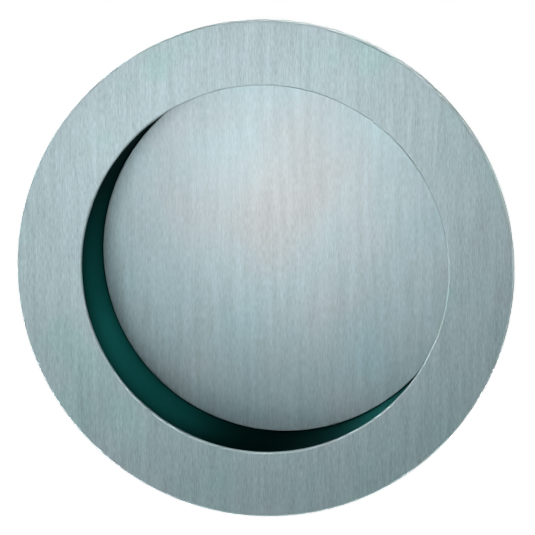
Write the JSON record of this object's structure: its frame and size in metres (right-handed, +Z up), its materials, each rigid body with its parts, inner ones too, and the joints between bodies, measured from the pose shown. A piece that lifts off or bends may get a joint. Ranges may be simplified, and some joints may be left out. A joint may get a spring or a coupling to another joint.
{
  "type": "pocket door pull",
  "caption": "Round flush pull for a pocket or sliding door: a flat satin steel ring round a dark finger cup with a flat satin steel floor, glued into a bored hole.",
  "frame": {"origin": "where the pull's axis meets the door's face, in the plane of the ring's back", "axes": "+Y along the pull's axis from the door's face into the door, the ring faces -Y, +Z up, +X to the right seen from the front"},
  "size_m": [0.05, 0.018, 0.05],
  "materials": {
    "satin_steel": "straight vertical satin brushing",
    "dark_gloss": "gloss, very dark teal"
  },
  "bodies": {
    "root": {"face_ring": "satin_steel", "recess_cup": "dark_gloss", "floor_disc": "satin_steel"}
  },
  "joints": []
}
